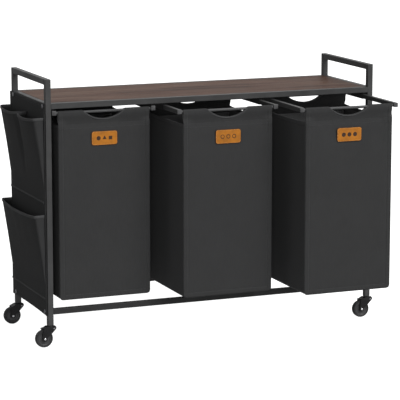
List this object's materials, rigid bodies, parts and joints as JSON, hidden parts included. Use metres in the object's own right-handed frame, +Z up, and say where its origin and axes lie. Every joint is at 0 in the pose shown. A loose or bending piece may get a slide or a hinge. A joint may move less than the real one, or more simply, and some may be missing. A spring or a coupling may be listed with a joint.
{
  "type": "laundry sorter on wheels",
  "caption": "Rolling laundry sorter: black square-tube frame, wood-look top, fabric bags on pull-out slide frames, side pockets, tan tags and swivel casters.",
  "frame": {"origin": "on the floor, below the middle of the whole sorter's outline as it stands with its middle and right bags pulled out", "axes": "+X to the right of someone who faces the bags, +Y to the back, +Z up"},
  "size_m": [1.0422, 0.5528, 0.7535],
  "materials": {
    "frame_steel": "satin black powder coat",
    "walnut_board": "walnut-look foil, satin, grain along the length",
    "bag_fabric": "matte dark grey woven polyester",
    "side_fabric": "matte near-black woven polyester",
    "tag_leather": "tan, satin",
    "guide_plastic": "matte black",
    "caster_plastic": "semi-matte black",
    "wheel_rubber": "matte dark grey",
    "axle_steel": "bright",
    "snap_metal": "gunmetal"
  },
  "bodies": {
    "frame": {"left_front_post": "frame_steel", "right_front_post": "frame_steel", "left_back_post": "frame_steel", "right_back_post": "frame_steel", "left_handle_bar": "frame_steel", "left_shelf_side_rail": "frame_steel", "left_lower_side_rail": "frame_steel", "right_handle_bar": "frame_steel", "right_shelf_side_rail": "frame_steel", "right_lower_side_rail": "frame_steel", "front_top_rail": "frame_steel", "back_top_rail": "frame_steel", "front_lower_rail": "frame_steel", "back_lower_rail": "frame_steel", "shelf_board": "walnut_board", "left_bag_left_guide": "guide_plastic", "left_bag_right_guide": "guide_plastic", "middle_bag_left_guide": "guide_plastic", "middle_bag_right_guide": "guide_plastic", "right_bag_left_guide": "guide_plastic", "right_bag_right_guide": "guide_plastic", "side_panel": "side_fabric", "upper_pocket": "side_fabric", "lower_pocket": "side_fabric", "top_front_snap": "snap_metal", "top_back_snap": "snap_metal", "bottom_front_snap": "snap_metal", "bottom_back_snap": "snap_metal"},
    "left_bag_unit": {"left_bag": "bag_fabric", "left_bag_left_slide_bar": "frame_steel", "left_bag_right_slide_bar": "frame_steel", "left_bag_front_rod": "frame_steel", "left_bag_back_rod": "frame_steel", "left_bag_tag": "tag_leather"},
    "middle_bag_unit": {"middle_bag": "bag_fabric", "middle_bag_left_slide_bar": "frame_steel", "middle_bag_right_slide_bar": "frame_steel", "middle_bag_front_rod": "frame_steel", "middle_bag_back_rod": "frame_steel", "middle_bag_tag": "tag_leather"},
    "right_bag_unit": {"right_bag": "bag_fabric", "right_bag_left_slide_bar": "frame_steel", "right_bag_right_slide_bar": "frame_steel", "right_bag_front_rod": "frame_steel", "right_bag_back_rod": "frame_steel", "right_bag_tag": "tag_leather"},
    "left_front_caster_swivel_body": {"left_front_caster_fork": "caster_plastic", "left_front_caster_axle": "axle_steel"},
    "left_front_wheel_body": {"left_front_caster_wheel": "wheel_rubber"},
    "left_front_pedal_body": {"left_front_caster_brake_pedal": "caster_plastic"},
    "right_front_caster_swivel_body": {"right_front_caster_fork": "caster_plastic", "right_front_caster_axle": "axle_steel"},
    "right_front_wheel_body": {"right_front_caster_wheel": "wheel_rubber"},
    "right_front_pedal_body": {"right_front_caster_brake_pedal": "caster_plastic"},
    "left_back_caster_swivel_body": {"left_back_caster_fork": "caster_plastic", "left_back_caster_axle": "axle_steel"},
    "left_back_wheel_body": {"left_back_caster_wheel": "wheel_rubber"},
    "right_back_caster_swivel_body": {"right_back_caster_fork": "caster_plastic", "right_back_caster_axle": "axle_steel"},
    "right_back_wheel_body": {"right_back_caster_wheel": "wheel_rubber"}
  },
  "joints": [
    {"name": "left_bag_slide", "type": "slide", "parent": "frame", "child": "left_bag_unit", "axis": [0, -1, 0], "range_m": [0, 0.26]},
    {"name": "middle_bag_slide", "type": "slide", "parent": "frame", "child": "middle_bag_unit", "axis": [0, -1, 0], "range_m": [-0.1025, 0.1575]},
    {"name": "right_bag_slide", "type": "slide", "parent": "frame", "child": "right_bag_unit", "axis": [0, -1, 0], "range_m": [-0.195, 0.065]},
    {"name": "left_front_caster_swivel", "type": "hinge", "parent": "frame", "child": "left_front_caster_swivel_body", "pos_m": [-0.47713, -0.0716, 0.0615], "axis": [0, 0, 1], "continuous": true},
    {"name": "left_front_wheel_spin", "type": "hinge", "parent": "left_front_caster_swivel_body", "child": "left_front_wheel_body", "pos_m": [-0.49613, -0.0716, 0.025], "axis": [0, 1, 0], "continuous": true},
    {"name": "left_front_brake_press", "type": "hinge", "parent": "left_front_caster_swivel_body", "child": "left_front_pedal_body", "pos_m": [-0.48713, -0.0716, 0.055], "axis": [0, -1, 0], "range_deg": [0, 9]},
    {"name": "right_front_caster_swivel", "type": "hinge", "parent": "frame", "child": "right_front_caster_swivel_body", "pos_m": [0.50687, -0.0716, 0.0615], "axis": [0, 0, 1], "continuous": true},
    {"name": "right_front_wheel_spin", "type": "hinge", "parent": "right_front_caster_swivel_body", "child": "right_front_wheel_body", "pos_m": [0.48787, -0.0716, 0.025], "axis": [0, 1, 0], "continuous": true},
    {"name": "right_front_brake_press", "type": "hinge", "parent": "right_front_caster_swivel_body", "child": "right_front_pedal_body", "pos_m": [0.49687, -0.0716, 0.055], "axis": [0, -1, 0], "range_deg": [0, 9]},
    {"name": "left_back_caster_swivel", "type": "hinge", "parent": "frame", "child": "left_back_caster_swivel_body", "pos_m": [-0.47713, 0.2324, 0.0615], "axis": [0, 0, 1], "continuous": true},
    {"name": "left_back_wheel_spin", "type": "hinge", "parent": "left_back_caster_swivel_body", "child": "left_back_wheel_body", "pos_m": [-0.49613, 0.2324, 0.025], "axis": [0, 1, 0], "continuous": true},
    {"name": "right_back_caster_swivel", "type": "hinge", "parent": "frame", "child": "right_back_caster_swivel_body", "pos_m": [0.50687, 0.2324, 0.0615], "axis": [0, 0, 1], "continuous": true},
    {"name": "right_back_wheel_spin", "type": "hinge", "parent": "right_back_caster_swivel_body", "child": "right_back_wheel_body", "pos_m": [0.50687, 0.2514, 0.025], "axis": [1, 0, 0], "continuous": true}
  ]
}
